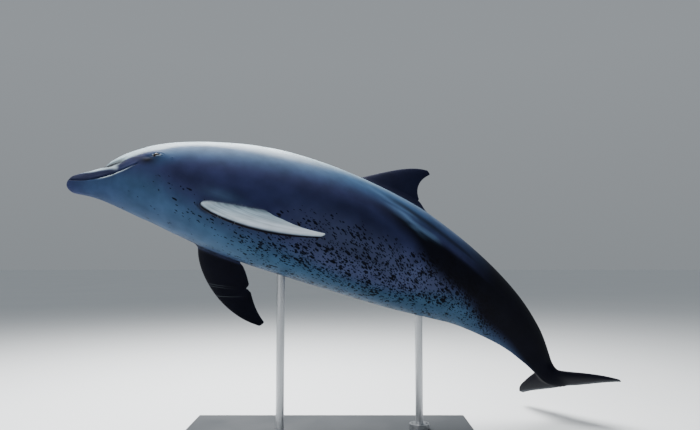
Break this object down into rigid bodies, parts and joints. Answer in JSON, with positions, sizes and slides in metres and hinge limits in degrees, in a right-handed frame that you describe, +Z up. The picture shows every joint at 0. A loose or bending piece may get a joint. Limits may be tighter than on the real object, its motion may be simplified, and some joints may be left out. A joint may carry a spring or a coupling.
{
  "type": "bottlenose dolphin model on a display stand",
  "caption": "Life-size still model of a bottlenose dolphin banking and diving gently, held over a flat base by upright rods.",
  "frame": {"origin": "the middle of the stand base's underside, under the animal's centre of mass", "axes": "+Z up; the nose points to -X and the tail to +X, and the animal's left side faces -Y"},
  "size_m": [2.2553, 1.164, 1.1823],
  "materials": {
    "back_skin": "satin",
    "belly_skin": "satin",
    "eye": "gloss",
    "painted_board": "satin",
    "steel": "satin"
  },
  "bodies": {
    "root": {"upper_jaw": "back_skin", "lower_jaw": "belly_skin", "head": "back_skin", "eye_left": "eye", "eye_right": "eye", "chest": "back_skin", "trunk": "back_skin", "tail_stock_front": "back_skin", "tail_stock_rear": "back_skin", "dorsal_fin": "back_skin", "flipper_left": "back_skin", "flipper_right": "back_skin", "fluke_left": "back_skin", "fluke_right": "back_skin", "stand_base": "painted_board", "stand_collar_front": "steel", "stand_collar_rear": "steel", "stand_rod_front": "steel", "stand_rod_rear": "steel"}
  },
  "joints": []
}
